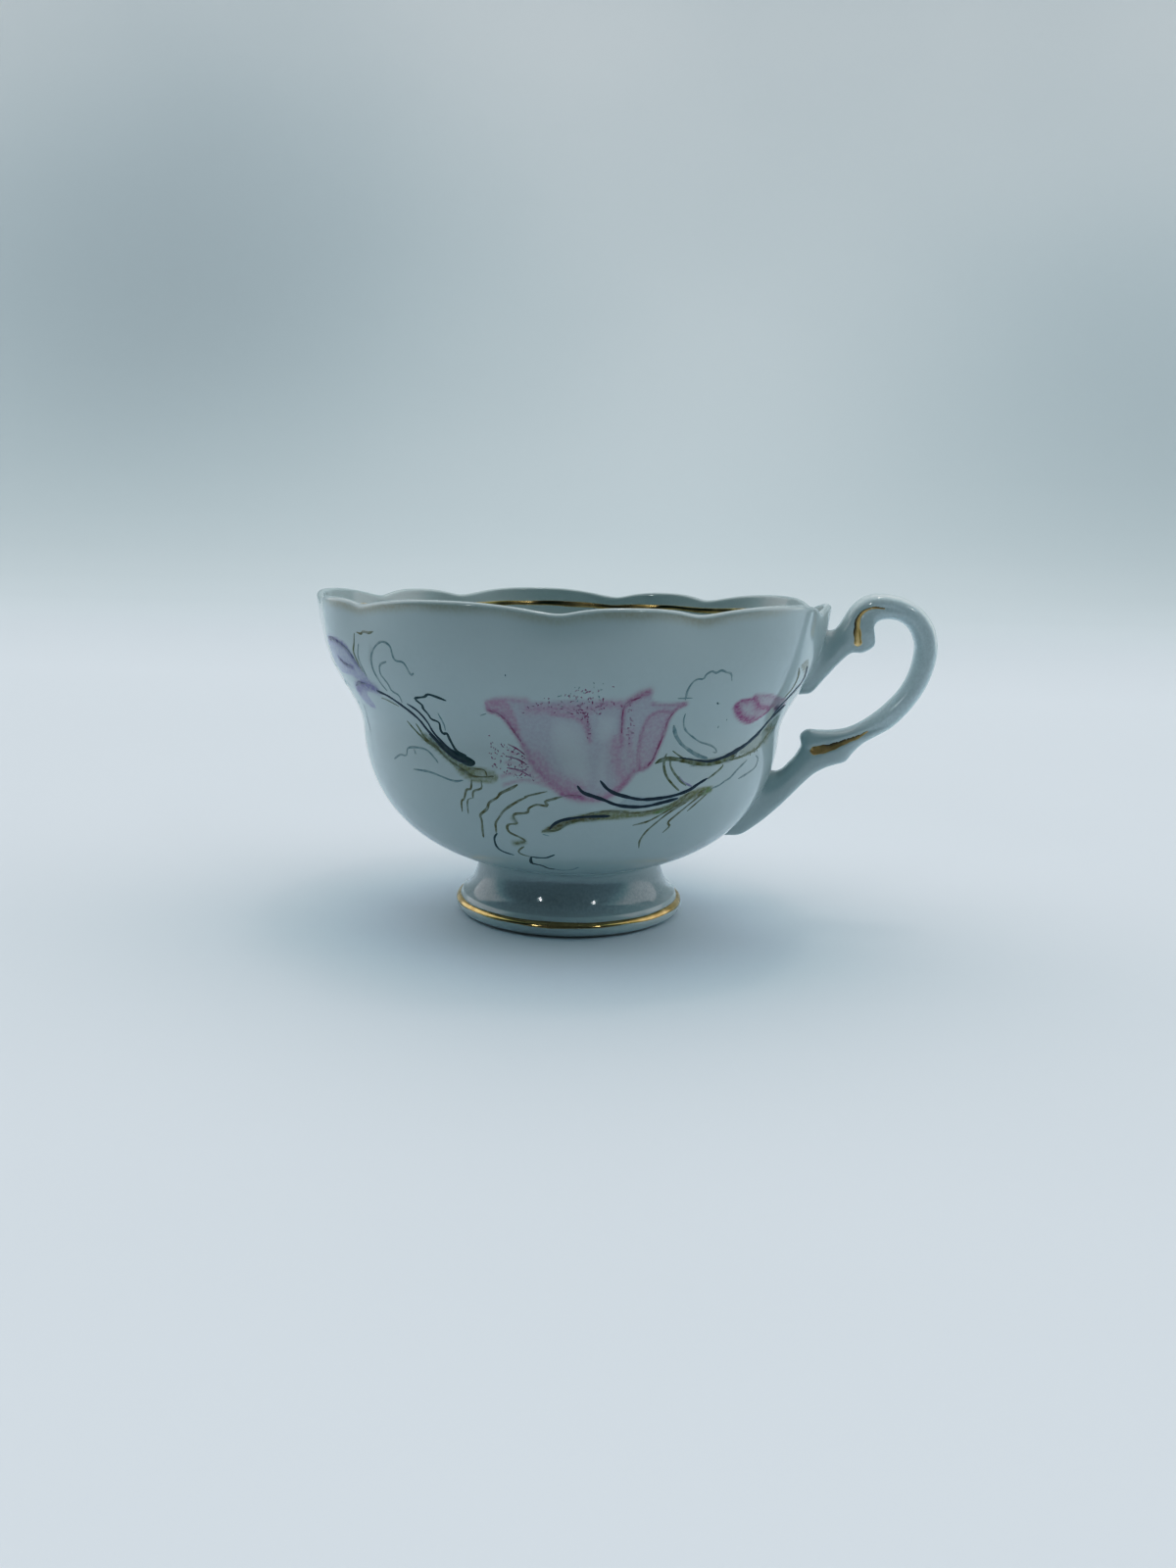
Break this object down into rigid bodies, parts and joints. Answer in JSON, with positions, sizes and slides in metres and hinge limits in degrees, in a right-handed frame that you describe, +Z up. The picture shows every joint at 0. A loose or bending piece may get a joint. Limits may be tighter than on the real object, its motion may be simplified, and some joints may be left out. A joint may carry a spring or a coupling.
{
  "type": "footed teacup",
  "caption": "Footed porcelain teacup with a lobed flaring rim, a turned hollow foot, a scrolled C handle for one finger and gilded edges.",
  "frame": {"origin": "centre of the foot's resting face, on the surface that the cup stands on", "axes": "+Z up along the bowl's axis, +X from the bowl towards the handle"},
  "size_m": [0.1144, 0.0944, 0.0617],
  "materials": {
    "porcelain": "gloss",
    "gilding": "polished"
  },
  "bodies": {
    "root": {"bowl": "porcelain", "foot": "porcelain", "handle": "porcelain", "inner_gold_line": "gilding", "foot_gold_band": "gilding", "handle_upper_gilding": "gilding", "handle_lower_gilding": "gilding"}
  },
  "joints": []
}
